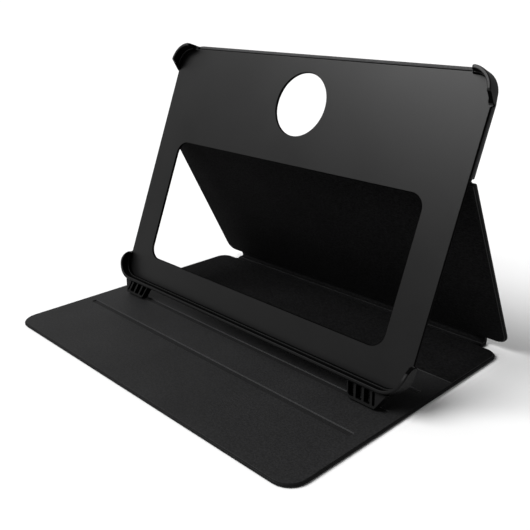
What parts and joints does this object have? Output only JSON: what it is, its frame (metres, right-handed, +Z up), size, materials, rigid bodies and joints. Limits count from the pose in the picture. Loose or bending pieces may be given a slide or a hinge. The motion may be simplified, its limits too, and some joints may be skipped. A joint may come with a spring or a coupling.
{
  "type": "tablet case",
  "caption": "Folio tablet case standing open, its moulded corner-cup tray leaning on the folded back cover with ribbed feet in an angle groove of the front cover.",
  "frame": {"origin": "centre of the object's footprint, on the surface it stands on", "axes": "+X along the case's width, to the right of a person facing the tablet's screen, +Y from the front cover's free edge towards the spine and away from the user, +Z up"},
  "size_m": [0.27, 0.2069, 0.1854],
  "materials": {
    "outer_skin": "fine-grained matte black artificial leather",
    "board": "grey pressed fibre board",
    "front_lining": "smooth fine-grained black artificial leather",
    "microfibre": "napped black microfibre",
    "tray_plastic": "satin black moulded plastic",
    "magnet": "nickel-plated magnet",
    "bond_pad": "black adhesive foam"
  },
  "bodies": {
    "base": {"front_cover_skin": "outer_skin", "front_cover_board": "board", "front_lining": "front_lining", "rear_lining": "microfibre", "left_cover_magnet": "magnet", "right_cover_magnet": "magnet"},
    "spine": {"spine_skin": "outer_skin", "spine_board": "board", "spine_lining": "microfibre"},
    "leg": {"leg_skin": "outer_skin", "leg_board": "board", "leg_lining": "microfibre"},
    "tray": {"upper_back_skin": "outer_skin", "upper_back_board": "board", "bond_pad": "bond_pad", "tray_shell": "tray_plastic", "left_foot": "tray_plastic", "right_foot": "tray_plastic"}
  },
  "joints": [
    {"name": "spine_fold", "type": "hinge", "parent": "base", "child": "spine", "pos_m": [0, 0.09483, 0.001], "axis": [-1, 0, 0], "range_deg": [0, 90]},
    {"name": "leg_fold", "type": "hinge", "parent": "spine", "child": "leg", "pos_m": [0, 0.10293, 0.002], "axis": [-1, 0, 0], "range_deg": [0, 118]},
    {"name": "tray_fold", "type": "hinge", "parent": "leg", "child": "tray", "pos_m": [0, 0.03762, 0.12573], "axis": [1, 0, 0], "range_deg": [0, 50]}
  ],
  "couplings": [
    {"joint": "tray_fold", "follows": "leg_fold", "ratio": 0.42314}
  ]
}
